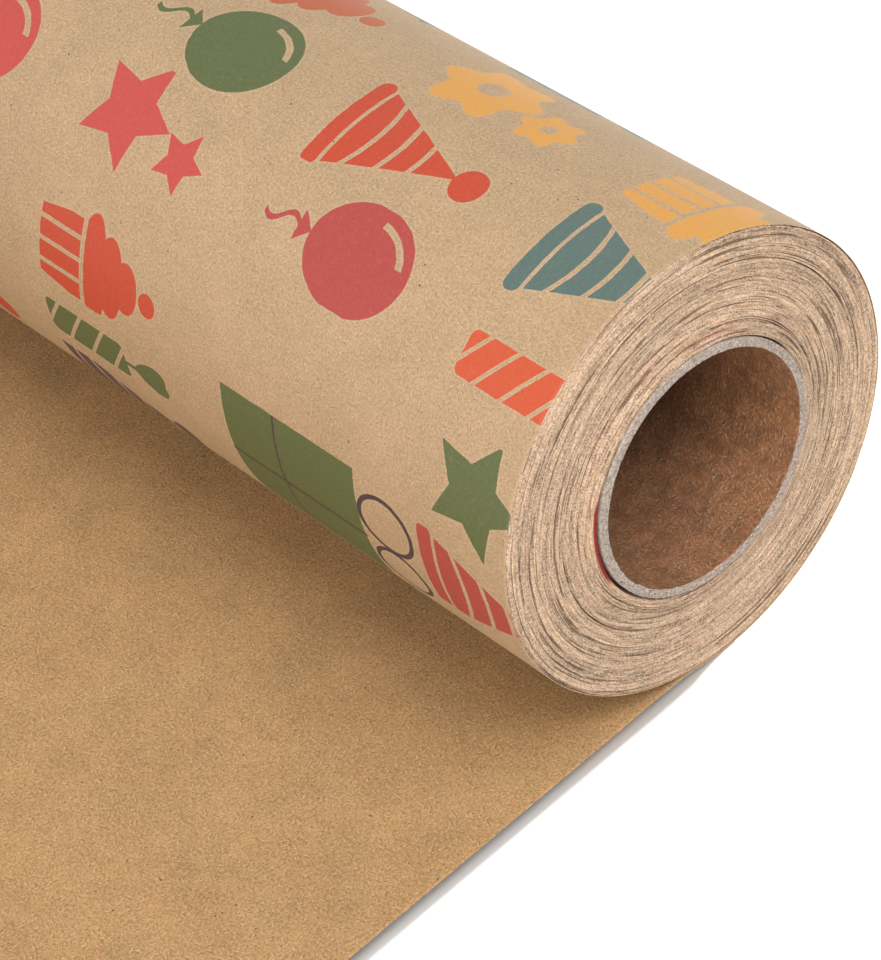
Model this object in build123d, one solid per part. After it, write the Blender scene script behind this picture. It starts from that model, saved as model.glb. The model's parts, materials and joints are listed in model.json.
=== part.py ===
"""A roll of wrapping paper on a cardboard core, with its loose end pulled out flat.

The core's axis lies along Y, with the origin at the middle of its bore. +Z is up, and the
loose end runs towards -X. Sizes are in millimetres, and angles are in degrees from +X to +Z.
"""

from build123d import *
from math import degrees
import os

# Driving dimensions: the core tube, wound from plies
CORE_BORE = 38.1
LINER_THICKNESS = 0.2
BOARD_THICKNESS = 0.3
BOARD_PLIES = 3
CORE_PROUD = 1.4  # how far each end of the core stands out of the paper

# Driving dimensions: the paper
PAPER_WIDTH = 444.5
ROLL_DIAMETER = 73.8  # over the outer turn
TURN_THICKNESS = 0.2  # of each stretch that is a solid by itself
LOOSE_LENGTH = 260.0
BEND_ANGLE = 50.0  # how far up the roll the leaving stretch is followed
RUNNING_GAP = 0.1  # between the roll and the paper that it rolls on

# Driving dimensions: the tape that holds the paper's start on the core
TAPE_WIDTH = 12.0
TAPE_THICKNESS = 0.15
TAPE_INSET = 10.0  # from each edge of the paper
TAPE_ANGLE = 120.0
TAPE_CLEARANCE = 0.5  # along the turn, on each side of the tape

# What follows from them
CORE_LENGTH = PAPER_WIDTH + 2 * CORE_PROUD
BORE_RADIUS = CORE_BORE / 2
CORE_RADIUS = BORE_RADIUS + 2 * LINER_THICKNESS + BOARD_PLIES * BOARD_THICKNESS
ROLL_RADIUS = ROLL_DIAMETER / 2
BEND_RADIUS = ROLL_RADIUS + RUNNING_GAP
TABLE_Z = -(BEND_RADIUS + TURN_THICKNESS)
BOTTOM_ANGLE = -90.0  # where the paper leaves the roll


def tube(inner_radius, outer_radius, length):
    """A tube about the Y axis, centred on the origin."""
    section = Circle(outer_radius) - Circle(inner_radius)
    return extrude(Plane.XZ * section, length / 2, both=True)


def curved_strip(inner_radius, thickness, length, middle, arc):
    """A stretch of tube wall about the Y axis that spans an arc about a middle angle."""
    start = middle - arc / 2
    inner = CenterArc((0, 0), inner_radius, start, arc)
    outer = CenterArc((0, 0), inner_radius + thickness, start, arc)
    ends = [Line(inner @ end, outer @ end) for end in (0, 1)]
    return extrude(Plane.XZ * make_face([inner, outer, *ends]), length / 2, both=True)


def core_plies():
    """The core tube's plies, from the liner that shows in the bore to the outer one."""
    names = ["core_inner_liner"]
    names += [f"core_board_ply_{number + 1}" for number in range(BOARD_PLIES)]
    names += ["core_outer_liner"]
    plies = {}
    inner = BORE_RADIUS
    for name in names:
        outer = inner + (LINER_THICKNESS if "liner" in name else BOARD_THICKNESS)
        plies[name] = tube(inner, outer, CORE_LENGTH)
        inner = outer
    return plies


def start_tape(clearance=0.0):
    """The tape across the paper's start, or the pocket that the first turn forms over it."""
    arc = degrees((TAPE_WIDTH + 2 * clearance) / CORE_RADIUS)
    length = PAPER_WIDTH - 2 * TAPE_INSET
    return curved_strip(CORE_RADIUS, TAPE_THICKNESS, length, TAPE_ANGLE, arc)


def wound_turns():
    """Every turn of paper below the outer one, wound tight on the core."""
    pack = tube(CORE_RADIUS, ROLL_RADIUS - TURN_THICKNESS, PAPER_WIDTH)
    return pack - start_tape(TAPE_CLEARANCE)


def outer_turn():
    """The turn whose printed face shows."""
    return tube(ROLL_RADIUS - TURN_THICKNESS, ROLL_RADIUS, PAPER_WIDTH)


def leaving_bend():
    """The paper that is leaving the roll, from where it lies on the table to part way up."""
    middle = BOTTOM_ANGLE + BEND_ANGLE / 2
    return curved_strip(BEND_RADIUS, TURN_THICKNESS, PAPER_WIDTH, middle, BEND_ANGLE)


def loose_sheet():
    """The flat stretch on the table, from under the roll's axis to the paper's cut end."""
    place = Pos(-LOOSE_LENGTH / 2, 0, TABLE_Z + TURN_THICKNESS / 2)
    return place * Box(LOOSE_LENGTH, PAPER_WIDTH, TURN_THICKNESS)


nodes = core_plies()
nodes["start_tape"] = start_tape()
nodes["wound_turns"] = wound_turns()
nodes["outer_turn"] = outer_turn()
nodes["leaving_bend"] = leaving_bend()
nodes["loose_sheet"] = loose_sheet()

os.makedirs("parts", exist_ok=True)
for name, part in nodes.items():
    export_step(part, f"parts/{name}.step")
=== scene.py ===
"""A roll of printed kraft wrapping paper on a cardboard core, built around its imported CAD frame.

Run as a script, it makes each piece, the studio and the camera. Lengths are in metres, and the
print's layout is in millimetres of paper.
"""

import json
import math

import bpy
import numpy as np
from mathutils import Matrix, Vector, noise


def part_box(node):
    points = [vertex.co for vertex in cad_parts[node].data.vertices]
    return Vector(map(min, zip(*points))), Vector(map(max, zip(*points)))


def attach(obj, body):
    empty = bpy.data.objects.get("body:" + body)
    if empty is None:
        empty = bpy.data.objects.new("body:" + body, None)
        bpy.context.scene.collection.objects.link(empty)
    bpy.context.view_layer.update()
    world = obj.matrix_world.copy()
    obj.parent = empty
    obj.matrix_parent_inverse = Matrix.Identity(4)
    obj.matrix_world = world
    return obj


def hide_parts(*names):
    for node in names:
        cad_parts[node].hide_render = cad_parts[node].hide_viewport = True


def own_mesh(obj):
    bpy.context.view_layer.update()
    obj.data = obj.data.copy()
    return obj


bl_info = {
    "name": "Wrapping Paper Roll",
    "version": (1, 0, 0),
    "blender": (4, 5, 0),
    "location": "View3D > Sidebar > Paper Roll",
    "description": "Makes the paper, the core and the studio of a roll of wrapping paper",
    "category": "Object",
}

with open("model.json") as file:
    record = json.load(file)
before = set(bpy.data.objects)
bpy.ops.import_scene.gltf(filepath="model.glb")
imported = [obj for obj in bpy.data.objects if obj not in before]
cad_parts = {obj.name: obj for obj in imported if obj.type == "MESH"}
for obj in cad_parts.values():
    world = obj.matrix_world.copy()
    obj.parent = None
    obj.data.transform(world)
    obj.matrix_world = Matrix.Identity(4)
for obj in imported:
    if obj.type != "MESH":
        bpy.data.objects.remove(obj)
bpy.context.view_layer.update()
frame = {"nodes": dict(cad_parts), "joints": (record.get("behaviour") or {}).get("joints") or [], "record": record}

MM = 0.001
TAU = math.tau


def node_radius(node):
    """The outer radius of a round node, about the core's axis."""
    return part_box(node)[1].x


def bore_radius():
    mount = next(m for m in frame["record"]["mounts"] if m["name"] == "core_bore")
    return mount["dims"]["r_mm"] * MM


BORE_RADIUS = bore_radius()
CORE_RADIUS = node_radius("core_outer_liner")
PACK_RADIUS = node_radius("wound_turns")
ROLL_RADIUS = node_radius("outer_turn")
PAPER_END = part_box("wound_turns")[1].y
PRINT_END = PAPER_END - 0.12 * MM  # the stretches at the outside sit a hair further in
CORE_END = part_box("core_inner_liner")[1].y
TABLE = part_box("loose_sheet")[0].z
LOOSE_LENGTH = -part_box("loose_sheet")[0].x
BEND_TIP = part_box("leaving_bend")[1]
PLIES = ["core_inner_liner", "core_board_ply_1", "core_board_ply_2", "core_board_ply_3"]
PLIES += ["core_outer_liner"]
BOTTOM = -math.pi / 2  # the angle at which the paper leaves the roll
TRAVEL = next(j for j in frame["joints"] if j["name"] == "roll_travel")["range_m"][1]
LEAD = 10 * MM  # the first of the laid paper, which moves along with the roll


# ---------------------------------------------------------------- settings

def colour_setting(name, default, description):
    return bpy.props.FloatVectorProperty(
        name=name, description=description, default=default, subtype="COLOR", min=0, max=1
    )


def length_setting(name, default, description):
    return bpy.props.FloatProperty(
        name=name, description=description, default=default, min=0, subtype="DISTANCE",
        unit="LENGTH", precision=5,
    )


class PaperSettings(bpy.types.PropertyGroup):
    """The wrapping paper's sizes and colours."""

    thickness: length_setting("Thickness", 0.1 * MM, "Thickness of the paper")
    turns: bpy.props.IntProperty(
        name="Turns", description="Turns wound under the outer one", default=156, min=10
    )
    gap: length_setting("Gap", 0.26 * MM, "Widest gap between two slack turns")
    start_gap: length_setting("Start Gap", 0.55 * MM, "How far the first turn stands off the core")
    wander: length_setting("Edge Wander", 0.16 * MM, "How far the wound edges stray sideways")
    lean: length_setting("Lean", 1.1 * MM, "How far the innermost turns stand out at the near end")
    lift: length_setting("Edge Lift", 1.25 * MM, "How far the loose paper's near edge stands up")
    seed: bpy.props.IntProperty(name="Seed", description="Seed of the slack turns", default=7)
    face: colour_setting("Printed Face", (0.277, 0.192, 0.112), "Bare kraft on the printed side")
    back: colour_setting("Plain Face", (0.302, 0.180, 0.083), "Kraft on the plain side")
    edge: colour_setting("Cut Edge", (0.404, 0.286, 0.196), "Cut edges of the wound turns")


class CoreSettings(bpy.types.PropertyGroup):
    """The cardboard core's colours and roughness."""

    rough: length_setting("Cut Roughness", 0.07 * MM, "Height of the fibres on the cut ends")
    liner: colour_setting("Liner", (0.232, 0.100, 0.043), "Brown liner inside the bore")
    board: colour_setting("Board", (0.336, 0.280, 0.240), "Grey board at the cut ends")


class StageSettings(bpy.types.PropertyGroup):
    """The camera and the lights."""

    place: bpy.props.FloatVectorProperty(
        name="Camera Place", description="From the middle of the paper's near end",
        default=(-0.23686, -0.31428, 0.38217), subtype="TRANSLATION", unit="LENGTH",
    )
    azimuth: bpy.props.FloatProperty(
        name="Azimuth", description="Heading, from +Y towards +X",
        default=math.radians(31.77), subtype="ANGLE",
    )
    dip: bpy.props.FloatProperty(
        name="Dip", description="Angle below the horizon", default=math.radians(43.49),
        subtype="ANGLE",
    )
    roll: bpy.props.FloatProperty(
        name="Roll", description="Turn of the picture", default=math.radians(-15.15),
        subtype="ANGLE",
    )
    lens: bpy.props.FloatProperty(
        name="Lens", description="Focal length", default=144.87, subtype="DISTANCE_CAMERA"
    )
    floor: colour_setting("Floor", (0.97, 0.97, 0.97), "Colour of the table")


SETTINGS = {"paper": PaperSettings, "core": CoreSettings, "stage": StageSettings}


def settings(kind):
    return getattr(bpy.context.scene, f"paper_roll_{kind}")


# ---------------------------------------------------------------- node arithmetic

class Wire:
    """An output in a node tree. Arithmetic on it adds Math nodes."""

    def __init__(self, tree, socket):
        self.tree = tree
        self.socket = socket

    def math(self, operation, *others):
        node = self.tree.nodes.new("ShaderNodeMath")
        node.operation = operation
        for slot, value in zip(node.inputs, (self, *others)):
            plug(self.tree, slot, value)
        return Wire(self.tree, node.outputs[0])

    def __add__(self, other):
        return self.math("ADD", other)

    def __sub__(self, other):
        return self.math("SUBTRACT", other)

    def __mul__(self, other):
        return self.math("MULTIPLY", other)

    def __truediv__(self, other):
        return self.math("DIVIDE", other)

    def __abs__(self):
        return self.math("ABSOLUTE")

    def min(self, other):
        return self.math("MINIMUM", other)

    def max(self, other):
        return self.math("MAXIMUM", other)

    def floor(self):
        return self.math("FLOOR")

    def less(self, other):
        return self.math("LESS_THAN", other)

    def more(self, other):
        return self.math("GREATER_THAN", other)

    def squared(self):
        return self * self

    def reach(self, other):
        """The length of a step with these two legs."""
        return (self.squared() + other.squared()).math("SQRT")

    def fade(self, start, end):
        """0 at start and 1 at end, smoothly, whichever is larger."""
        node = self.tree.nodes.new("ShaderNodeMapRange")
        node.interpolation_type = "SMOOTHSTEP"
        low, high = min(start, end), max(start, end)
        plug(self.tree, node.inputs["Value"], self)
        node.inputs["From Min"].default_value = low
        node.inputs["From Max"].default_value = high
        node.inputs["To Min"].default_value = float(start > end)
        node.inputs["To Max"].default_value = float(start < end)
        return Wire(self.tree, node.outputs["Result"])


def plug(tree, slot, value):
    """Links a wire to a socket, or sets the socket's own value."""
    if isinstance(value, Wire):
        tree.links.new(value.socket, slot)
    else:
        slot.default_value = value


def vector(tree, x, y, z=0.0):
    node = tree.nodes.new("ShaderNodeCombineXYZ")
    for slot, value in zip(node.inputs, (x, y, z)):
        plug(tree, slot, value)
    return Wire(tree, node.outputs[0])


def parts(wire):
    node = wire.tree.nodes.new("ShaderNodeSeparateXYZ")
    plug(wire.tree, node.inputs[0], wire)
    return [Wire(wire.tree, output) for output in node.outputs]


def stretched(wire, scale, turn=0.0, shift=(0.0, 0.0, 0.0)):
    """Coordinates that are turned about Z and then scaled."""
    node = wire.tree.nodes.new("ShaderNodeVectorRotate")
    node.rotation_type = "Z_AXIS"
    plug(wire.tree, node.inputs["Vector"], wire)
    node.inputs["Angle"].default_value = turn
    scaled = wire.tree.nodes.new("ShaderNodeVectorMath")
    scaled.operation = "MULTIPLY_ADD"
    wire.tree.links.new(node.outputs[0], scaled.inputs[0])
    scaled.inputs[1].default_value = scale
    scaled.inputs[2].default_value = shift
    return Wire(wire.tree, scaled.outputs[0])


def grain(wire, scale, detail=2.0, roughness=0.5, distortion=0.0):
    """Noise around 0.5."""
    node = wire.tree.nodes.new("ShaderNodeTexNoise")
    plug(wire.tree, node.inputs["Vector"], wire)
    node.inputs["Scale"].default_value = scale
    node.inputs["Detail"].default_value = detail
    node.inputs["Roughness"].default_value = roughness
    node.inputs["Distortion"].default_value = distortion
    return Wire(wire.tree, node.outputs["Fac"])


def cells(wire, scale):
    """The distance to the nearest of many scattered points."""
    node = wire.tree.nodes.new("ShaderNodeTexVoronoi")
    plug(wire.tree, node.inputs["Vector"], wire)
    node.inputs["Scale"].default_value = scale
    return Wire(wire.tree, node.outputs["Distance"])


def mixed(tree, mode, factor, first, second):
    node = tree.nodes.new("ShaderNodeMix")
    node.data_type = "RGBA"
    node.blend_type = mode
    colours = [s for s in node.inputs if s.type == "RGBA"]
    plug(tree, node.inputs["Factor"], factor)
    for slot, value in zip(colours, (first, second)):
        plug(tree, slot, value if isinstance(value, Wire) else (*value[:3], 1.0))
    return Wire(tree, next(s for s in node.outputs if s.type == "RGBA"))


def blend(factor, first, second):
    """The second colour laid over the first."""
    return mixed(factor.tree, "MIX", factor, first, second)


def shaded(colour, tone):
    """A colour made lighter or darker by a number around 1."""
    return mixed(tone.tree, "MULTIPLY", 1.0, colour, vector(tone.tree, tone, tone, tone))


def steps(factor, stops):
    """A colour for each stretch of the factor: (where it starts, colour) in order."""
    node = factor.tree.nodes.new("ShaderNodeValToRGB")
    plug(factor.tree, node.inputs["Fac"], factor)
    ramp = node.color_ramp
    ramp.interpolation = "CONSTANT"
    while len(ramp.elements) < len(stops):
        ramp.elements.new(1.0)
    for element, (start, value) in zip(ramp.elements, stops):
        element.position = start
        element.color = (*value[:3], 1.0)
    return Wire(factor.tree, node.outputs["Color"])


def new_group(name, inputs, outputs):
    """A shader node group, with its inputs as wires by name."""
    tree = bpy.data.node_groups.new(name, "ShaderNodeTree")
    kinds = {"f": "NodeSocketFloat", "v": "NodeSocketVector", "c": "NodeSocketColor"}
    for label, (kind, value) in inputs.items():
        socket = tree.interface.new_socket(label, in_out="INPUT", socket_type=kinds[kind])
        if value is not None:
            socket.default_value = (*value[:3], 1.0) if kind == "c" else value
    for label, kind in outputs.items():
        tree.interface.new_socket(label, in_out="OUTPUT", socket_type=kinds[kind])
    source = tree.nodes.new("NodeGroupInput")
    return tree, {label: Wire(tree, source.outputs[label]) for label in inputs}


def close_group(tree, results):
    sink = tree.nodes.new("NodeGroupOutput")
    for label, wire in results.items():
        plug(tree, sink.inputs[label], wire)
    return tree


def use(group, tree, **inputs):
    """The group placed in a tree. Returns its outputs as wires by name."""
    node = tree.nodes.new("ShaderNodeGroup")
    node.node_tree = group
    for label, value in inputs.items():
        slot = node.inputs[label.replace("_", " ")]
        if slot.type == "RGBA" and not isinstance(value, Wire):
            value = (*value[:3], 1.0)
        plug(tree, slot, value)
    return {output.name: Wire(tree, output) for output in node.outputs}


# ---------------------------------------------------------------- the print

INKS = {
    "amber": (0.416, 0.200, 0.036),
    "orange": (0.288, 0.060, 0.016),
    "red": (0.312, 0.029, 0.010),
    "scarlet": (0.352, 0.048, 0.016),
    "crimson": (0.248, 0.030, 0.029),
    "coral": (0.312, 0.037, 0.034),
    "teal": (0.048, 0.088, 0.084),
    "green": (0.052, 0.073, 0.024),
    "plum": (0.056, 0.029, 0.036),
    "ribbon": (0.030, 0.015, 0.026),
}
KINDS = ["bare", "hat", "balloon", "stars", "candle", "cupcake", "flowers", "streamer", "gift"]
ROW_PITCH = 44.45
ROW_START = 3.0  # the first row's middle, from the paper's near edge
ROW_HEAD = 27.0  # room above a row's middle
REPEAT = 126.0  # along the web
REPEAT_START = 69.0
PRINT_ROWS = (
    (
        (80, "bare", "teal"), (100.5, "cupcake", "amber"), (120, "hat", "teal"),
        (139.5, "candle", "scarlet"), (157.5, "stars", "green"), (176, "hat", "crimson"),
        (190, "bare", "plum"),
    ),
    (
        (83, "candle", "teal"), (99, "flowers", "amber"), (119, "hat", "red"),
        (136.5, "balloon", "crimson"), (153, "bare", "green"), (176, "gift", "green"),
    ),
    (
        (80, "stars", "teal"), (98, "cupcake", "orange"), (117.5, "balloon", "green"),
        (135, "stars", "coral"), (160, "cupcake", "red"), (174.5, "candle", "green"),
        (188, "hat", "plum"),
    ),
    (
        (79, "flowers", "plum"), (97, "candle", "amber"), (116, "streamer", "teal"),
        (135, "balloon", "coral"), (160, "bare", "coral"), (184, "hat", "red"),
    ),
)


def ellipse(x, y, across, high):
    """Roughly the distance to an ellipse's outline, below 0 inside."""
    return ((x / across).reach(y / high) - 1.0) * min(across, high)


def slab(x, y, half_width, half_height, corner=1.0):
    """The distance to a rounded rectangle's outline."""
    right = abs(x) - (half_width - corner)
    top = abs(y) - (half_height - corner)
    return right.max(0.0).reach(top.max(0.0)) + right.max(top).min(0.0) - corner


def slanted_gaps(x, y, pitch, width):
    """The distance to bare bands that slope across a shape."""
    across = (y + x * 0.45) / pitch
    return abs(across - across.floor() - 0.5) * -pitch + width / 2


def star(x, y, radius):
    points = 5
    angle = x.math("ARCTAN2", y)
    fold = angle.math("PINGPONG", math.pi / points)
    inner = 0.5 * radius
    edge = fold.math("SINE") * radius + (fold * -1.0 + math.pi / points).math("SINE") * inner
    rim = radius * inner * math.sin(math.pi / points)
    outline = edge.math("POWER", -1.0) * rim
    return (x.reach(y) - outline) * 0.7


def party_hat(x, y):
    cone = ((abs(x) - (y * -1.0 + 9.8) * 0.37) * 0.94).max(y * -1.0 - 12.2)
    curved = y + x.squared() * 0.035
    for high in (-7.2, -2.4, 2.2):
        cone = cone.max(abs(curved - high) * -1.0 + 0.45)
    brim = slab(x, y + 14.4, 9.4, 1.5, 1.4)
    return cone.min(brim).min(x.reach(y - 11.9) - 3.1)


def balloon(x, y):
    body = ellipse(x, y - 4.6, 8.6, 10.2)
    shine = abs(ellipse(x, y - 4.6, 6.2, 7.8)) - 0.5
    shine = shine.max(x + 1.5).max(y * -1.0 + 5.5)
    knot = (abs(x) + (y + 5.4) * 0.9) * 0.7
    knot = knot.max(y * -1.0 - 8.2)
    cord = abs(x - (y * 0.8).math("SINE") * 1.1) - 0.5
    cord = cord.max(abs(y + 11.5) - 3.8)
    return body.max(shine * -1.0).min(knot).min(cord)


def stars(x, y):
    return star(x, y + 4.6, 9.8).min(star(x - 2.8, y - 9.6, 5.4))


def candle(x, y):
    wax = slab(x, y + 5.2, 3.5, 9.8, 1.2).max(slanted_gaps(x * 1.6, y, 5.6, 0.9))
    wick = slab(x, y - 6.0, 0.45, 1.6, 0.3)
    flame = ellipse(x, y - 10.4 - abs(x) * 0.6, 2.9, 3.8)
    return wax.min(wick).min(flame)


def cupcake(x, y):
    pleat = (x / 3.7 + 0.5).math("FRACT")
    cup = (abs(x) - (y + 14.5) * 0.17 - 5.8).max(abs(y + 9.6) - 5.0)
    cup = cup.max(abs(pleat - 0.5) * -3.7 + 0.4)
    icing = ellipse(x, y + 1.6, 9.0, 3.4)
    icing = icing.min(ellipse(x, y - 2.6, 6.8, 3.3)).min(ellipse(x, y - 6.6, 4.3, 2.9))
    icing = icing.max(y * -1.0 - 3.6)
    return cup.min(icing).min((x - 0.4).reach(y - 11.9) - 2.0)


def flower(x, y, radius):
    petals = (x.math("ARCTAN2", y) * 6.0).math("COSINE") * (0.16 * radius)
    away = x.reach(y)
    return (away - petals - radius).max(away * -1.0 + 0.3 * radius)


def flowers(x, y):
    return flower(x, y + 4.6, 8.3).min(flower(x - 2.6, y - 10.0, 4.6))


def streamer(x, y):
    wave = (y * 0.72).math("SINE") * 3.0
    return (abs(x - wave) - 2.7).max(abs(y) - 14.5) * 0.8


def gift_box(x, y):
    return slab(x, y, 13.5, 15.0, 0.4)


def gift_ribbon(x, y):
    """The ribbon's lines and the bow above the box."""
    upright = abs(x - 2.0).max(abs(y) - 15.0) - 0.30
    band = abs(y + 3.0).max(abs(x) - 13.5) - 0.24
    loops = abs(ellipse(x + 3.4, y - 21.0, 5.0, 5.6))
    loops = loops.min(abs(ellipse(x - 6.6, y - 21.2, 4.6, 5.2)))
    return upright.min(band).min(loops - 0.42)


def party_print():
    """Rows of party shapes in flat inks. Takes the web's coordinates in millimetres."""
    tree, given = new_group(
        "Party Print", {"Web": ("v", None)}, {"Ink": "f", "Halo": "f", "Colour": "c"}
    )
    wobble = grain(given["Web"], 0.5, 2.0) - 0.5
    across, along, _ = parts(given["Web"])
    across = across + wobble * 0.30
    along = along + wobble * 0.25

    down = (across - (ROW_START - ROW_HEAD)) / ROW_PITCH
    row = down.floor()
    y = (down - row) * -ROW_PITCH + ROW_HEAD
    row = row - (row / len(PRINT_ROWS)).floor() * float(len(PRINT_ROWS))
    lap = (along - REPEAT_START) / REPEAT
    lap = lap - lap.floor()

    place, ink = None, None
    for number, shapes in enumerate(PRINT_ROWS):
        middles = [(centre - REPEAT_START) / REPEAT for centre, _, _ in shapes]
        starts = [0.0] + [(a + b) / 2 for a, b in zip(middles, middles[1:])]
        kinds = [KINDS.index(kind) / len(KINDS) for _, kind, _ in shapes]
        facts = [(s, (m, k, 0.0)) for s, m, k in zip(starts, middles, kinds)]
        inks = [(s, INKS[name]) for s, (_, _, name) in zip(starts, shapes)]
        here = abs(row - float(number)).less(0.5)
        place = steps(lap, facts) if place is None else blend(here, place, steps(lap, facts))
        ink = steps(lap, inks) if ink is None else blend(here, ink, steps(lap, inks))

    middle, kind, _ = parts(place)
    x = (lap - middle) * REPEAT
    kind = kind * float(len(KINDS))
    makers = {
        "hat": party_hat, "balloon": balloon, "stars": stars, "candle": candle,
        "cupcake": cupcake, "flowers": flowers, "streamer": streamer, "gift": gift_box,
    }
    far = 50.0  # added to the distance to a shape of another kind
    nearest = None
    for name, maker in makers.items():
        apart = abs(kind - float(KINDS.index(name)))
        distance = maker(x, y) + apart.more(0.5) * far
        nearest = distance if nearest is None else nearest.min(distance)
    ribbon = gift_ribbon(x, y) + abs(kind - float(KINDS.index("gift"))).more(0.5) * far

    soft = 0.09  # half the width over which an ink's edge fades
    drawn = nearest.min(ribbon)
    mask = drawn.fade(soft, -soft)
    halo = drawn.fade(0.38, 0.12) * (mask * -1.0 + 1.0)
    ink = blend(ribbon.fade(soft, -soft), ink, INKS["ribbon"])
    return close_group(tree, {"Ink": mask, "Halo": halo, "Colour": ink})


# ---------------------------------------------------------------- finishes

def kraft_grain():
    """Pulp fibres, flecks and cloudiness. Takes coordinates in millimetres."""
    tree, given = new_group(
        "Kraft Grain",
        {"Where": ("v", None), "Colour": ("c", (0.5, 0.3, 0.15)), "Strength": ("f", 1.0)},
        {"Colour": "c", "Height": "f", "Fibre": "f"},
    )
    where, strength = given["Where"], given["Strength"]
    cloud = grain(where, 0.09, 3.0, 0.6) - 0.5
    mottle = grain(where, 0.5, 3.0, 0.65) - 0.5
    pulp = grain(where, 2.0, 4.0, 0.75, 0.2) - 0.5
    light = dark = None
    for turn, shift in ((0.25, 0.0), (1.05, 31.0), (1.9, 67.0), (2.7, 93.0)):
        along = stretched(where, (0.95, 3.3, 1.0), turn, (shift, 0.0, 0.0))
        streak = grain(along, 1.0, 2.0, 0.65, 0.4)
        moved = stretched(along, (1.0, 1.0, 1.0), 0.0, (0.2, 0.75, 0.0))
        beside = grain(moved, 1.0, 2.0, 0.65, 0.4)
        pale, deep = streak.fade(0.57, 0.76), beside.fade(0.57, 0.76)
        light = pale if light is None else light.max(pale)
        dark = deep if dark is None else dark.max(deep)
    dark = dark * (light * -0.7 + 1.0)
    sloped = stretched(where, (0.42, 4.0, 1.0), 0.7, (13.0, 5.0, 0.0))
    cross = stretched(where, (0.50, 4.4, 1.0), 2.3, (3.0, 41.0, 0.0))
    strands = grain(sloped, 1.0, 1.0, 0.5, 1.2).max(grain(cross, 1.0, 1.0, 0.5, 1.2))
    strands = strands.fade(0.66, 0.76) * cloud.fade(-0.08, 0.12)
    specks = cells(where, 0.24).fade(0.055, 0.03)
    tone = (cloud * 0.44 + mottle * 0.40 + pulp * 1.55) * strength + 1.0
    colour = shaded(given["Colour"], tone)
    colour = blend(light * strength * 0.42, colour, (0.560, 0.416, 0.272))
    colour = blend(dark * strength * 0.58, colour, (0.104, 0.052, 0.022))
    colour = blend(strands * strength * 0.42, colour, (0.10, 0.05, 0.02))
    colour = blend(specks * 0.75, colour, (0.032, 0.018, 0.010))
    height = pulp * 0.5 + light * 0.5 - dark * 0.5
    return close_group(tree, {"Colour": colour, "Height": height, "Fibre": light})


def ring_coordinates():
    """Radius and distance along the turn, in millimetres, on an end of the roll."""
    tree, given = new_group("Ring Coordinates", {"Where": ("v", None)},
                            {"Radius": "f", "Around": "f", "Ring": "v"})
    x, _, z = parts(given["Where"])
    radius = x.reach(z) / MM
    angle = z.math("ARCTAN2", x)
    middle_radius = (BORE_RADIUS + ROLL_RADIUS) / 2 / MM
    across = angle.math("COSINE") * middle_radius
    up = angle.math("SINE") * middle_radius
    return close_group(
        tree,
        {"Radius": radius, "Around": angle, "Ring": vector(tree, across, up, radius)},
    )


GROUPS = {}


def group(maker):
    if maker.__name__ not in GROUPS:
        GROUPS[maker.__name__] = maker()
    return GROUPS[maker.__name__]


def new_material(name, roughness, specular=0.3):
    """A material with a Principled shader. Returns it, its tree and the shader."""
    material = bpy.data.materials.new(name)
    material.use_nodes = True
    tree = material.node_tree
    tree.nodes.clear()
    shader = tree.nodes.new("ShaderNodeBsdfPrincipled")
    shader.inputs["Roughness"].default_value = roughness
    shader.inputs["Specular IOR Level"].default_value = specular
    output = tree.nodes.new("ShaderNodeOutputMaterial")
    tree.links.new(shader.outputs["BSDF"], output.inputs["Surface"])
    return material, tree, shader


def add_bump(tree, shader, height, distance, strength=1.0):
    bump = tree.nodes.new("ShaderNodeBump")
    bump.inputs["Distance"].default_value = distance
    bump.inputs["Strength"].default_value = strength
    plug(tree, bump.inputs["Height"], height)
    tree.links.new(bump.outputs["Normal"], shader.inputs["Normal"])


def object_millimetres(tree):
    node = tree.nodes.new("ShaderNodeTexCoord")
    return stretched(Wire(tree, node.outputs["Object"]), (1 / MM,) * 3)


def web_millimetres(tree):
    node = tree.nodes.new("ShaderNodeUVMap")
    node.uv_map = "Web"
    return stretched(Wire(tree, node.outputs["UV"]), (1 / MM,) * 3)


def printed_finish():
    material, tree, shader = new_material("printed_paper", 0.62, 0.35)
    web = web_millimetres(tree)
    base = use(group(kraft_grain), tree, Where=web, Colour=settings("paper").face,
               Strength=0.75)
    shapes = use(group(party_print), tree, Web=web)
    mottle = grain(web, 1.7, 3.0, 0.6)
    worn = (mottle - 0.5) * 0.30 + 1.0
    ink = shaded(shapes["Colour"], worn)
    ink = blend(base["Fibre"] * 0.16, ink, settings("paper").face)
    pale = blend(shapes["Halo"] * 0.15, base["Colour"], (0.42, 0.33, 0.25))
    plug(tree, shader.inputs["Base Color"], blend(shapes["Ink"] * 0.97, pale, ink))
    plug(tree, shader.inputs["Roughness"], shapes["Ink"] * -0.10 + 0.60)
    add_bump(tree, shader, base["Height"] * (shapes["Ink"] * -0.5 + 1.0), 0.05 * MM, 0.6)
    return material


def plain_finish():
    material, tree, shader = new_material("plain_paper", 0.9, 0.05)
    web = web_millimetres(tree)
    dull = grain(web, 0.11, 3.0, 0.6).fade(0.42, 0.60)
    back = blend(dull * 0.24, settings("paper").back, (0.244, 0.166, 0.080))
    base = use(group(kraft_grain), tree, Where=web, Colour=back, Strength=1.15)
    plug(tree, shader.inputs["Base Color"], base["Colour"])
    add_bump(tree, shader, base["Height"], 0.07 * MM, 0.7)
    return material


EDGE_TINTS = {
    "pink": (0.416, 0.240, 0.192),
    "straw": (0.288, 0.200, 0.104),
    # gap: painted shade, a near-black that stands for the shaded cracks between wound turns
    "gap": (0.085, 0.048, 0.026),
    "pale": (0.576, 0.480, 0.400),
    "red": (0.205, 0.020, 0.014),
}


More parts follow.
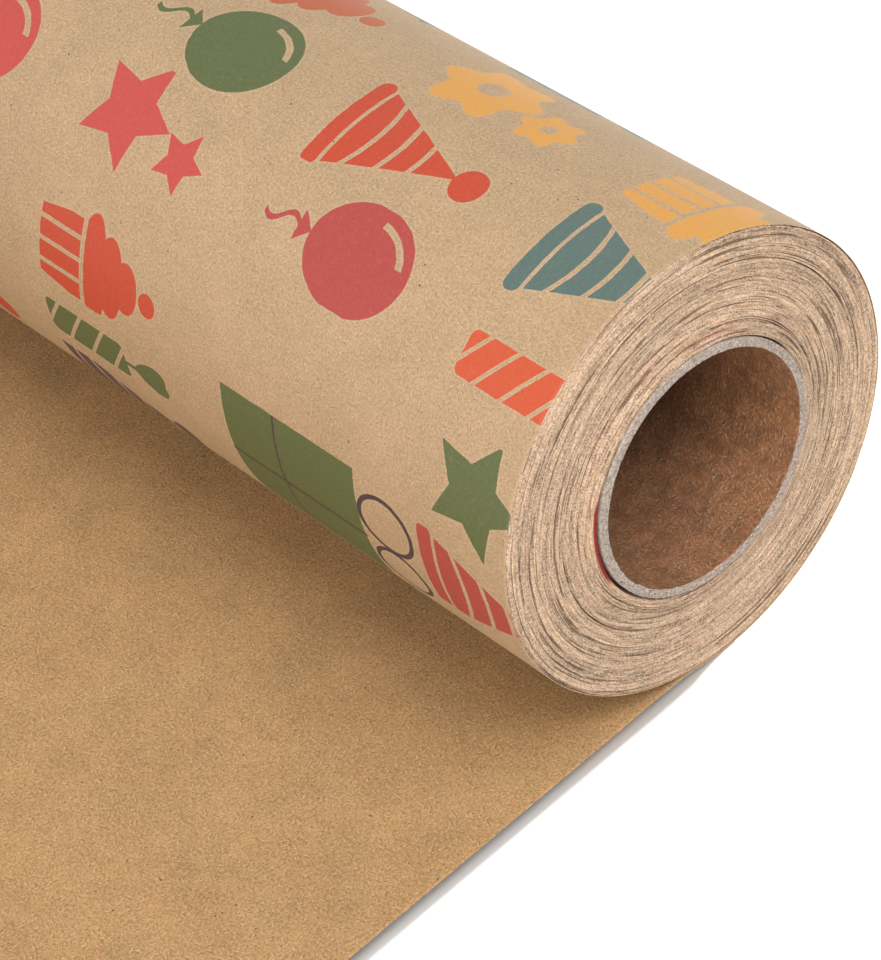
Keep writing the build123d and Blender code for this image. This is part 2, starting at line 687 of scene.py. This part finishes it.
def edge_finish():
    """Cut edges of many turns: streaks that follow the turns, painted shade in the gaps between turns, and a few
    tinted by ink.
    """
    material, tree, shader = new_material("paper_edges", 0.85, 0.15)
    node = tree.nodes.new("ShaderNodeTexCoord")
    where = Wire(tree, node.outputs["Object"])
    ring = use(group(ring_coordinates), tree, Where=where)

    def along_turns(near, across, shift, detail=2.0, roughness=0.6):
        """Noise drawn out along the turns: cycles per millimetre along and across them."""
        place = stretched(ring["Ring"], (near, near, across), 0.0, (shift, shift * 0.7, 1.0))
        return grain(place, 1.0, detail, roughness)

    fine = along_turns(0.16, 3.6, 0.0, 3.0, 0.75) - 0.5
    bands = along_turns(0.03, 1.0, 3.0, 3.0, 0.7) - 0.5
    broad = along_turns(0.025, 0.16, 5.0) - 0.5
    speck = grain(ring["Ring"], 3.4, 3.0, 0.85) - 0.5
    tone = fine * 2.2 + bands * 1.05 + broad * 0.22 + speck * 4.0 + 1.02
    colour = shaded(settings("paper").edge, tone.max(0.15))
    tint = along_turns(0.05, 0.9, 9.0)
    colour = blend(tint.fade(0.52, 0.75) * 0.22, colour, EDGE_TINTS["pink"])
    colour = blend(tint.fade(0.46, 0.25) * 0.40, colour, EDGE_TINTS["straw"])
    # Painted shade: two sets of thin near-black lines along the turns stand for the shaded cracks between them.
    for number, (near, across, low) in enumerate(((0.045, 2.6, 0.37), (0.12, 3.4, 0.30))):
        gap_shade_line = along_turns(near, across, 17.0 + 11.0 * number)
        colour = blend(gap_shade_line.fade(low + 0.07, low) * 0.78, colour, EDGE_TINTS["gap"])
    pale = along_turns(0.5, 3.6, 41.0)
    colour = blend(pale.fade(0.56, 0.70) * 0.60, colour, EDGE_TINTS["pale"])
    stain = along_turns(0.045, 2.2, 57.0)
    near_core = ring["Radius"].fade(29.0, 21.0) * 0.75 + 0.08
    colour = blend(stain.fade(0.62, 0.72) * near_core, colour, EDGE_TINTS["red"])
    start = (ring["Around"] - 3.1).math("COSINE").fade(0.905, 0.96)
    start = start * ring["Radius"].fade(21.5, 21.2)
    colour = blend(start, colour, EDGE_TINTS["red"])
    plug(tree, shader.inputs["Base Color"], colour)
    add_bump(tree, shader, fine + speck, 0.12 * MM, 0.8)
    return material


def liner_finish():
    """The brown liner in the bore: mottled kraft with pale, shiny fibres."""
    material, tree, shader = new_material("core_liner", 0.7, 0.3)
    where = object_millimetres(tree)
    base = use(group(kraft_grain), tree, Where=where, Colour=settings("core").liner,
               Strength=1.3)
    blotch = grain(where, 0.35, 3.0, 0.6)
    colour = blend(blotch.fade(0.62, 0.35) * 0.35, base["Colour"], (0.055, 0.024, 0.012))
    sparkle = cells(where, 1.0).fade(0.20, 0.07)
    colour = blend(sparkle * 0.40, colour, (0.496, 0.336, 0.208))
    colour = blend(spiral_seam(tree, where) * 0.25, colour, (0.040, 0.020, 0.012))
    plug(tree, shader.inputs["Base Color"], colour)
    plug(tree, shader.inputs["Roughness"], sparkle * -0.25 + 0.72)
    add_bump(tree, shader, base["Height"], 0.15 * MM, 0.9)
    return material


SEAM_LEAD = 190.0  # millimetres along the bore for one turn


def spiral_seam(tree, where):
    """A thin line where the liner's edges meet, winding along the bore."""
    x, y, z = parts(where)
    lap = z.math("ARCTAN2", x) / TAU + y / SEAM_LEAD + 0.37
    apart = abs(lap - lap.floor() - 0.5) * SEAM_LEAD
    return apart.fade(0.7, 0.2)


def board_finish(name, tint):
    """Grey chipboard: short fibres in white, grey and brown, ragged where it is cut."""
    material, tree, shader = new_material(name, 0.9, 0.15)
    where = object_millimetres(tree)
    tone = (grain(where, 1.9, 5.0, 0.8) - 0.5) * 2.4 + 1.0
    colour = shaded(tint, tone)
    flecks = grain(where, 2.4, 2.0, 0.6)
    colour = blend(flecks.fade(0.56, 0.68) * 0.65, colour, (0.576, 0.528, 0.496))
    colour = blend(flecks.fade(0.44, 0.32) * 0.70, colour, (0.128, 0.088, 0.072))
    plug(tree, shader.inputs["Base Color"], colour)
    add_bump(tree, shader, tone, 0.14 * MM, 0.9)
    return material


def tape_finish():
    material, tree, shader = new_material("start_tape", 0.45, 0.4)
    where = object_millimetres(tree)
    tone = (grain(stretched(where, (0.2, 0.05, 0.2)), 1.0, 3.0) - 0.5) * 0.3 + 1.0
    plug(tree, shader.inputs["Base Color"], shaded((0.50, 0.45, 0.33), tone))
    add_bump(tree, shader, tone, 0.02 * MM)
    return material


FINISHES = {}
FINISH_MAKERS = {
    "printed_paper": printed_finish,
    "plain_paper": plain_finish,
    "paper_edges": edge_finish,
    "core_liner": liner_finish,
    "core_board": lambda: board_finish("core_board", settings("core").board),
    "tape": tape_finish,
}


def finish(name):
    if name not in FINISHES:
        FINISHES[name] = FINISH_MAKERS[name]()
    return FINISHES[name]


# ---------------------------------------------------------------- meshes

PAPER_FINISHES = ["printed_paper", "plain_paper", "paper_edges"]  # front, back and rims


def add_piece(name, mesh, finishes):
    for each in finishes:
        mesh.materials.append(finish(each))
    piece = bpy.data.objects.new(name, mesh)
    bpy.context.scene.collection.objects.link(piece)
    return piece


def settle(piece, body, slot, *nodes):
    """The piece rides on a body and stands for these nodes."""
    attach(piece, body)
    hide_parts(*nodes)
    return piece


def sample(x, y, z=0.0, scale=1.0):
    """Smooth noise from -1 to 1."""
    return noise.noise(Vector((x, y, z)) * scale)


def shell_mesh(name, front, back, web, closed=False):
    """A thin closed shell between two grids of points.

    front and back are arrays of columns, rows and XYZ. web holds each grid line's place in the
    web: (along, across). A closed shell joins its last column to its first.
    """
    columns, rows = front.shape[:2]
    points = np.concatenate([front.reshape(-1, 3), back.reshape(-1, 3)])
    count = columns * rows
    faces, spots, marks = [], [], []

    def add(corners, lines, mark):
        faces.append(corners)
        spots.append(lines)
        marks.append(mark)

    spans = columns if closed else columns - 1
    for i in range(spans):
        k = (i + 1) % columns
        for j in range(rows - 1):
            a, b = i * rows + j, k * rows + j
            add((a, b, b + 1, a + 1), ((i, j), (i + 1, j), (i + 1, j + 1), (i, j + 1)), 0)
            a, b = a + count, b + count
            add((a + 1, b + 1, b, a), ((i, j + 1), (i + 1, j + 1), (i + 1, j), (i, j)), 1)
        for j, turned in ((0, True), (rows - 1, False)):
            a, b = i * rows + j, k * rows + j
            rim = (a, b, b + count, a + count)
            cell = ((i, j), (i + 1, j), (i + 1, j), (i, j))
            add(rim[::-1] if turned else rim, cell[::-1] if turned else cell, 2)
    if not closed:
        for i, turned in ((0, False), (columns - 1, True)):
            for j in range(rows - 1):
                a = i * rows + j
                rim = (a, a + 1, a + 1 + count, a + count)
                cell = ((i, j), (i, j + 1), (i, j + 1), (i, j))
                add(rim[::-1] if turned else rim, cell[::-1] if turned else cell, 2)

    mesh = bpy.data.meshes.new(name)
    mesh.from_pydata(points.tolist(), [], faces)
    along, across = web
    spots = np.array([s for face in spots for s in face])
    marks = np.repeat(marks, 4)
    uv = np.stack([across[spots[:, 1]], along[spots[:, 0]]], -1)
    mesh.uv_layers.new(name="Web").data.foreach_set("uv", uv.astype(np.float32).ravel())
    share = np.stack(
        [spots[:, 1] / (rows - 1), spots[:, 0] / max(1, columns - 1 + closed)], -1
    )
    half = np.where(marks == 1, 0.505, 0.005)
    bake = np.stack([half + share[:, 0] * 0.49, 0.02 + share[:, 1] * 0.97], -1)
    bake[marks == 2, 1] = 0.004 + (bake[marks == 2, 1] - 0.02) * 0.01
    mesh.uv_layers.new(name="OFBake").data.foreach_set("uv", bake.astype(np.float32).ravel())
    mesh.polygons.foreach_set("use_smooth", [True] * len(faces))
    mesh.polygons.foreach_set("material_index", marks[::4].astype(np.int32))
    mesh.update()
    return mesh


def turn_points(angles, places, radius):
    """Points on the roll: radius is a function of the angle and the place along the axis."""
    grid = np.zeros((len(angles), len(places), 3))
    for i, angle in enumerate(angles):
        for j, y in enumerate(places):
            r = radius(angle, y)
            grid[i, j] = (r * math.cos(angle), y, r * math.sin(angle))
    return grid


def angles_web(angles, radius):
    """Where each angle's line, and the closing one, lies along the web."""
    step = angles[1] - angles[0]
    return radius * (np.append(angles, angles[-1] + step) - BOTTOM)


def graded(start, end, count, fine=6, step=0.0006):
    """Places from start to end, closer together at both ends."""
    edge = [step * (1.6 ** k) for k in range(fine)]
    edge = np.cumsum(edge)
    middle = np.linspace(start + edge[-1], end - edge[-1], count)
    return np.concatenate([[start], start + edge[:-1], middle, (end - edge[:-1])[::-1], [end]])


def slack(angle, y):
    """How far the outer turn stands off the ones below it, in metres."""
    near = math.exp(-((PAPER_END + y) / 0.05) ** 2)
    wave = sample(angle * 1.3, y * 9.0, 3.0)
    return 0.05 * MM * wave + 0.03 * MM * near * sample(angle * 3.0, y * 30.0, 9.0)


# ---------------------------------------------------------------- the wound turns

def geometry_tree(name, inputs):
    tree = bpy.data.node_groups.new(name, "GeometryNodeTree")
    tree.interface.new_socket("Geometry", in_out="OUTPUT", socket_type="NodeSocketGeometry")
    for label, kind in inputs.items():
        tree.interface.new_socket(label, in_out="INPUT", socket_type=f"NodeSocket{kind}")
    source = tree.nodes.new("NodeGroupInput")
    return tree, {label: Wire(tree, source.outputs[label]) for label in inputs}


def add_node(tree, kind, **inputs):
    node = tree.nodes.new(kind)
    for label, value in inputs.items():
        plug(tree, node.inputs[label.replace("_", " ")], value)
    return node


def random_value(tree, low, high, number, seed):
    node = tree.nodes.new("FunctionNodeRandomValue")
    node.data_type = "FLOAT"
    floats = [s for s in node.inputs if s.type == "VALUE"]
    plug(tree, floats[0], low)
    plug(tree, floats[1], high)
    plug(tree, next(s for s in node.inputs if s.name == "ID"), number)
    plug(tree, next(s for s in node.inputs if s.name == "Seed"), seed)
    return Wire(tree, next(s for s in node.outputs if s.type == "VALUE"))


def winding_tree():
    """One long strip of paper wound about the Y axis, with slack turns and straying edges."""
    tree, given = geometry_tree(
        "Winding",
        {
            "Inner Radius": "Float", "Outer Radius": "Float", "Turns": "Float",
            "Points per Turn": "Int", "Thickness": "Float", "Width": "Float",
            "Gap": "Float", "Gaps": "Int", "Start Gap": "Float", "Edge Wander": "Float",
            "Lean": "Float", "Lean Depth": "Float", "Seed": "Int", "Material": "Material",
        },
    )
    line = add_node(tree, "GeometryNodeCurvePrimitiveLine")
    count = given["Turns"] * given["Points per Turn"]
    strip = add_node(tree, "GeometryNodeResampleCurve", Curve=Wire(tree, line.outputs[0]),
                     Count=count)
    index = Wire(tree, tree.nodes.new("GeometryNodeInputIndex").outputs[0])
    turn = index / given["Points per Turn"]
    angle = turn * TAU

    start = tree.nodes.new("GeometryNodeRepeatInput")
    end = tree.nodes.new("GeometryNodeRepeatOutput")
    start.pair_with_output(end)
    end.repeat_items.clear()
    end.repeat_items.new("FLOAT", "Below")
    end.repeat_items.new("FLOAT", "All")
    plug(tree, start.inputs["Iterations"], given["Gaps"])
    first = (angle + 2.85).math("COSINE").fade(0.3, 0.9) * given["Start Gap"]
    first = first + (angle - 0.65).math("COSINE").fade(0.6, 1.0) * given["Start Gap"] * 0.6
    plug(tree, start.inputs["Below"], first)
    plug(tree, start.inputs["All"], first)
    number = Wire(tree, start.outputs["Iteration"])
    seed = given["Seed"]
    where = random_value(tree, 0.0, given["Turns"], number, seed)
    wide = random_value(tree, 0.15, 1.0, number, seed + 1.0).squared() * given["Gap"]
    apart = (angle - where * TAU - math.pi).math("COSINE").fade(-0.2, 1.0) * wide
    below = Wire(tree, start.outputs["Below"]) + apart * turn.more(where)
    every = Wire(tree, start.outputs["All"]) + apart
    plug(tree, end.inputs["Below"], below)
    plug(tree, end.inputs["All"], every)

    depth = given["Outer Radius"] - given["Inner Radius"]
    filled = turn * (depth / given["Turns"]) + Wire(tree, end.outputs["Below"])
    radius = given["Inner Radius"] + depth * filled / (depth + Wire(tree, end.outputs["All"]))
    coarse = grain(vector(tree, turn * 0.14, 3.0), 1.0, 4.0, 0.75) - 0.5
    jump = grain(vector(tree, turn * 2.1, 11.0, seed), 1.0, 1.0) - 0.5
    stray = (coarse * 2.0 + jump * 1.6) * given["Edge Wander"]
    depth_in = (radius - given["Inner Radius"]) / given["Lean Depth"]
    stray = stray + depth_in.fade(1.0, 0.0) * given["Lean"]
    spiral = vector(tree, radius * angle.math("COSINE"), radius * angle.math("SINE"), stray)
    placed = add_node(tree, "GeometryNodeSetPosition",
                      Geometry=Wire(tree, strip.outputs[0]), Position=spiral)
    upright = add_node(tree, "GeometryNodeSetCurveNormal",
                       Curve=Wire(tree, placed.outputs[0]))
    upright.mode = "Z_UP"
    profile = add_node(tree, "GeometryNodeCurvePrimitiveQuadrilateral",
                       Width=given["Thickness"], Height=given["Width"])
    swept = add_node(tree, "GeometryNodeCurveToMesh", Curve=Wire(tree, upright.outputs[0]),
                     Profile_Curve=Wire(tree, profile.outputs[0]), Fill_Caps=True)
    laid = add_node(tree, "GeometryNodeTransform", Geometry=Wire(tree, swept.outputs[0]),
                    Rotation=(math.pi / 2, 0.0, 0.0))
    real = add_node(tree, "GeometryNodeRealizeInstances",
                    Geometry=Wire(tree, laid.outputs[0]))
    done = add_node(tree, "GeometryNodeSetMaterial", Geometry=Wire(tree, real.outputs[0]),
                    Material=given["Material"])
    sink = tree.nodes.new("NodeGroupOutput")
    tree.links.new(done.outputs[0], sink.inputs["Geometry"])
    return tree


def grown_mesh(name, tree, values):
    """The plain mesh that a geometry tree makes with these inputs."""
    seedling = bpy.data.objects.new(name, bpy.data.meshes.new(name))
    bpy.context.scene.collection.objects.link(seedling)
    modifier = seedling.modifiers.new("Nodes", "NODES")
    modifier.node_group = tree
    for item in tree.interface.items_tree:
        if item.item_type == "SOCKET" and item.in_out == "INPUT":
            modifier[item.identifier] = values[item.name]
    bpy.context.view_layer.update()
    graph = bpy.context.evaluated_depsgraph_get()
    mesh = bpy.data.meshes.new_from_object(seedling.evaluated_get(graph))
    bpy.data.objects.remove(seedling)
    if not mesh.polygons:
        raise RuntimeError(f"{name}: the geometry tree made nothing")
    mesh.name = name
    return mesh


def end_face_map(mesh):
    """A bake map with each end of the roll as one flat disc."""
    count = len(mesh.loops)
    corner = np.zeros(count, np.int32)
    mesh.loops.foreach_get("vertex_index", corner)
    points = np.zeros(len(mesh.vertices) * 3)
    mesh.vertices.foreach_get("co", points)
    points = points.reshape(-1, 3)[corner]
    scale = 0.48 / (2 * ROLL_RADIUS)
    flat = points[:, [0, 2]] * scale
    flat[:, 0] += np.where(points[:, 1] < 0, 0.25, 0.75)
    flat[:, 1] += 0.5
    layer = mesh.uv_layers.get("OFBake") or mesh.uv_layers.new(name="OFBake")
    layer.data.foreach_set("uv", flat.astype(np.float32).ravel())


# ---------------------------------------------------------------- operators

class PieceOperator(bpy.types.Operator):
    """Shared by the operators that make a piece."""

    bl_options = {"REGISTER", "UNDO"}

    def execute(self, context):
        self.build()
        return {"FINISHED"}


class MakeCore(PieceOperator):
    """Makes the plies of the cardboard core, with ragged cut ends"""

    bl_idname = "paper_roll.make_core"
    bl_label = "Core"

    def build(self):
        rough = settings("core").rough
        inner = BORE_RADIUS
        for number, node in enumerate(PLIES):
            outer = node_radius(node)
            slot = "core_liner" if number == 0 else "core_board"
            mesh = self.ply(node, inner, outer, rough, number)
            finishes = [slot, "core_board", "core_board"]
            settle(add_piece(node + "_wound", mesh, finishes), "roll", slot, node)
            inner = outer

    def ply(self, name, inner, outer, rough, number):
        """A tube with ragged cut ends. The innermost has fibres across its rims."""
        around = 440
        angles = np.linspace(0, TAU, around, endpoint=False)
        places = graded(-CORE_END, CORE_END, 60 if number == 0 else 8, 6, 0.0004)

        def cut(angle, y, side):
            grit = sample(angle * 40.0, side * 5.0, number * 3.0 + y * 90.0)
            grit += 0.6 * sample(angle * 110.0, side * 9.0, number * 7.0 + y * 60.0)
            return rough * grit

        def bore(angle, y):
            swell = 0.03 * MM * sample(angle * 2.0, y * 25.0, 5.0)
            return inner + (swell if number == 0 else 0.0)

        wall = turn_points(angles, places, lambda a, y: outer)
        hollow = turn_points(angles, places, bore)
        for i, angle in enumerate(angles):
            for j in (0, len(places) - 1):
                side = 1 if j else -1
                wall[i, j, 1] += cut(angle, places[j], 1.0)
                hollow[i, j, 1] += cut(angle, places[j], 2.0)
                if number == 0:
                    lip = 0.35 * MM * max(0.0, sample(angle * 7.0, side, 4.0))
                    lip += 0.55 * MM * abs(sample(angle * 38.0, side, 8.0))
                    lip *= 0.35 + 0.65 * max(0.0, -math.sin(angle))
                    hollow[i, j, (0, 2)] *= 1.0 - lip / inner
        web = (angles_web(angles, inner), places)
        return shell_mesh(name, hollow[::-1], wall[::-1], web, closed=True)


class MakeWinding(PieceOperator):
    """Makes the wound turns below the outer one as one long spiral strip"""

    bl_idname = "paper_roll.make_winding"
    bl_label = "Wound Turns"

    def build(self):
        paper = settings("paper")
        half = paper.thickness / 2
        mesh = grown_mesh(
            "wound_turns_spiral",
            winding_tree(),
            {
                "Inner Radius": CORE_RADIUS + half,
                "Outer Radius": PACK_RADIUS - half,
                "Turns": float(paper.turns),
                "Points per Turn": 96,
                "Thickness": 0.9 * (PACK_RADIUS - CORE_RADIUS) / paper.turns,
                "Width": 2 * PAPER_END - 1.2 * paper.wander,
                "Gap": paper.gap,
                "Gaps": 34,
                "Start Gap": paper.start_gap,
                "Edge Wander": paper.wander,
                "Lean": paper.lean,
                "Lean Depth": 4.5 * MM,
                "Seed": paper.seed,
                "Material": finish("paper_edges"),
            },
        )
        end_face_map(mesh)
        settle(add_piece("wound_turns_spiral", mesh, []), "roll", "paper_edges", "wound_turns")


class MakeOuterTurn(PieceOperator):
    """Makes the printed outer turn"""

    bl_idname = "paper_roll.make_outer_turn"
    bl_label = "Outer Turn"

    def build(self):
        thick = settings("paper").thickness
        angles = np.linspace(BOTTOM, BOTTOM + TAU, 256, endpoint=False)
        places = graded(-PRINT_END, PRINT_END, 56)
        outer = turn_points(angles, places, lambda a, y: ROLL_RADIUS + slack(a, y))
        inner = turn_points(angles, places, lambda a, y: ROLL_RADIUS - thick + slack(a, y))
        web = (angles_web(angles, ROLL_RADIUS), places + PAPER_END)
        mesh = shell_mesh("outer_turn_print", outer, inner, web, closed=True)
        piece = add_piece("outer_turn_print", mesh, PAPER_FINISHES)
        settle(piece, "roll", "printed_paper", "outer_turn")


def laid_paper(name, columns):
    """A stretch of paper on the table, at these distances from where it leaves the roll."""
    paper = settings("paper")
    places = graded(-PRINT_END, PRINT_END, 150, 7, 0.0006)
    floor = TABLE + 0.02 * MM
    lower = np.zeros((len(columns), len(places), 3))
    for i, x in enumerate(columns):
        for j, y in enumerate(places):
            lower[i, j] = (-x, y, floor + laid_height(x, y, paper.lift))
    upper = lower + np.array((0.0, 0.0, paper.thickness))
    mesh = shell_mesh(name, lower, upper, (-columns, places + PAPER_END))
    return add_piece(name, mesh, PAPER_FINISHES)


def laid_height(x, y, lift):
    """How far the laid paper stands off the table, with room for the roll to come along it."""
    near = math.exp(-(PAPER_END + y) / 0.022)
    far = math.exp(-(PAPER_END - y) / 0.03)
    end = math.exp(-(LOOSE_LENGTH - x) / 0.03)
    wave = 1.0 + 0.18 * sample(x * 14.0, 2.0)
    rise = lift * (near * wave + 0.5 * far + 0.5 * end * (1 + sample(y * 9.0, 5.0)))
    billow = 0.25 * MM * max(0.0, sample(x * 9.0, y * 7.0, 1.0) + 0.2)
    squashed = (LOOSE_LENGTH - LEAD - TRAVEL) / (LOOSE_LENGTH - LEAD)
    closest = min(x, LEAD + (x - LEAD) * squashed)
    room = 0.82 * closest * closest / (2 * ROLL_RADIUS)
    return min(room, rise + billow)


class MakeLeavingBend(PieceOperator):
    """Makes the paper that comes off the roll and bends down to the table"""

    bl_idname = "paper_roll.make_leaving_bend"
    bl_label = "Leaving Bend"

    def build(self):
        thick = settings("paper").thickness
        low = -TABLE - 0.05 * MM
        tip = math.atan2(BEND_TIP.z, BEND_TIP.x)
        angles = np.linspace(BOTTOM, tip, 48)
        places = graded(-PRINT_END, PRINT_END, 56)

        def share(angle):
            return (angle - BOTTOM) / (tip - BOTTOM)

        def outer(angle, y):
            s = share(angle)
            return low + (ROLL_RADIUS + 0.08 * MM - low) * s

        def inner(angle, y):
            return outer(angle, y) - thick * (1.0 - 0.6 * share(angle))

        web = (ROLL_RADIUS * (angles - BOTTOM), places + PAPER_END)
        mesh = shell_mesh("leaving_bend_print", turn_points(angles, places, outer),
                          turn_points(angles, places, inner), web)
        piece = add_piece("leaving_bend_print", mesh, PAPER_FINISHES)
        settle(piece, "leaving_paper", "printed_paper", "leaving_bend")
        lead = laid_paper("leaving_bend_laid", graded(0.0, LEAD - 0.01 * MM, 8, 2, 0.0004))
        settle(lead, "leaving_paper", "plain_paper", "leaving_bend")


class MakeLooseSheet(PieceOperator):
    """Makes the flat stretch of paper on the table, plain face up"""

    bl_idname = "paper_roll.make_loose_sheet"
    bl_label = "Loose Sheet"

    def build(self):
        rest = LOOSE_LENGTH - LEAD
        piece = laid_paper("loose_sheet_laid", graded(LEAD, LOOSE_LENGTH, 125, 5, 0.0008))
        settle(piece, "loose_paper", "plain_paper", "loose_sheet")
        (rest - TRAVEL) / rest
        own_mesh(piece)


class MakeTape(PieceOperator):
    """Gives the hidden tape on the paper's start its finish"""

    bl_idname = "paper_roll.make_tape"
    bl_label = "Start Tape"

    def build(self):
        tape = frame["nodes"]["start_tape"]
        tape.data.materials.clear()
        tape.data.materials.append(finish("tape"))


class MakeStage(PieceOperator):
    """Sets up the table, the soft lights and the camera"""

    bl_idname = "paper_roll.make_stage"
    bl_label = "Studio"

    def build(self):
        scene = bpy.context.scene
        stage = settings("stage")
        self.floor(stage)
        self.camera(scene, stage)
        self.lights(scene)
        scene.view_settings.view_transform = "Standard"

    def floor(self, stage):
        size = 3.0
        mesh = bpy.data.meshes.new("table")
        z = TABLE - 0.02 * MM
        corners = [(-size, -size, z), (size, -size, z), (size, size, z), (-size, size, z)]
        mesh.from_pydata(corners, [], [(0, 1, 2, 3)])
        material, _, shader = new_material("table", 0.6, 0.1)
        shader.inputs["Base Color"].default_value = (*stage.floor, 1.0)
        mesh.materials.append(material)
        floor = bpy.data.objects.new("table", mesh)
        bpy.context.scene.collection.objects.link(floor)

    def camera(self, scene, stage):
        data = bpy.data.cameras.new("camera")
        data.lens = stage.lens
        data.clip_start = 0.01
        data.clip_end = 20.0
        camera = bpy.data.objects.new("camera", data)
        bpy.context.scene.collection.objects.link(camera)
        heading, dip = stage.azimuth, stage.dip
        ahead = Vector((math.sin(heading) * math.cos(dip), math.cos(heading) * math.cos(dip),
                        -math.sin(dip)))
        right = Vector((math.cos(heading), -math.sin(heading), 0.0))
        up = right.cross(ahead)
        level = Matrix((right, up, -ahead)).transposed()
        turned = level @ Matrix.Rotation(stage.roll, 3, "Z")
        place = Vector(stage.place) + Vector((0.0, -PAPER_END, 0.0))
        camera.matrix_world = Matrix.Translation(place) @ turned.to_4x4()
        scene.camera = camera

    def lights(self, scene):
        """An even sky, three soft lights on the roll and one on the table alone."""
        world = bpy.data.worlds.new("studio")
        world.use_nodes = True
        background = world.node_tree.nodes["Background"]
        background.inputs["Color"].default_value = (1.0, 1.0, 1.0, 1.0)
        background.inputs["Strength"].default_value = 0.80
        scene.world = world
        table = bpy.data.objects["table"]
        above = self.softbox("above", (0.05, -0.85, 1.05), (0.0, -0.15, 0.0), 0.7, 16.0)
        side = self.softbox("side", (-1.10, -0.45, 0.35), (0.0, -0.15, 0.0), 1.0, 15.5)
        behind = self.softbox("behind", (-0.10, 0.90, 1.00), (0.0, -0.22, 0.0), 0.6, 27.0)
        side.data.color = (1.0, 0.86, 0.70)
        rim = self.softbox("rim", (0.95, -0.05, 0.75), (0.0, -0.10, 0.0), 0.8, 3.5)
        rim.data.color = (1.0, 0.80, 0.40)
        for light in (above, side):
            light.light_linking.receiver_collection = self.linked("EXCLUDE", table)
        behind.light_linking.receiver_collection = self.linked("INCLUDE", table)
        laid = [bpy.data.objects[name] for name in ("loose_sheet_laid", "leaving_bend_laid")]
        behind.light_linking.blocker_collection = self.linked("INCLUDE", *laid)

    def linked(self, state, *pieces):
        """A collection that makes a light count, or leave out, these pieces."""
        found = bpy.data.collections.new(f"{pieces[0].name}_{state.lower()}")
        for piece in pieces:
            found.objects.link(piece)
        for each in found.collection_objects:
            each.light_linking.link_state = state
        return found

    def softbox(self, name, place, aim, size, power):
        data = bpy.data.lights.new(name, "AREA")
        data.shape = "SQUARE"
        data.size = size
        data.energy = power
        light = bpy.data.objects.new(name, data)
        bpy.context.scene.collection.objects.link(light)
        toward = Vector(aim) - Vector(place)
        light.rotation_euler = toward.to_track_quat("-Z", "Y").to_euler()
        light.location = place
        return light


OPERATORS = (
    MakeCore, MakeTape, MakeWinding, MakeOuterTurn, MakeLeavingBend, MakeLooseSheet,
    MakeStage,
)


class PaperRollPanel(bpy.types.Panel):
    """Lists the pieces of the paper roll."""

    bl_idname = "VIEW3D_PT_paper_roll"
    bl_label = "Paper Roll"
    bl_space_type = "VIEW_3D"
    bl_region_type = "UI"
    bl_category = "Paper Roll"

    def draw(self, context):
        for kind, fields in SETTINGS.items():
            box = self.layout.box()
            box.label(text=kind.capitalize())
            for name in fields.__annotations__:
                box.prop(settings(kind), name)
        for operator in OPERATORS:
            self.layout.operator(operator.bl_idname)


def register():
    for each in (*SETTINGS.values(), *OPERATORS, PaperRollPanel):
        bpy.utils.register_class(each)
    for kind, fields in SETTINGS.items():
        pointer = bpy.props.PointerProperty(type=fields)
        setattr(bpy.types.Scene, f"paper_roll_{kind}", pointer)


def unregister():
    for kind in SETTINGS:
        delattr(bpy.types.Scene, f"paper_roll_{kind}")
    for each in (PaperRollPanel, *reversed(OPERATORS), *reversed(SETTINGS.values())):
        bpy.utils.unregister_class(each)


def main():
    register()
    for operator in OPERATORS:
        family, name = operator.bl_idname.split(".")
        getattr(getattr(bpy.ops, family), name)()


if __name__ == "__main__":
    main()
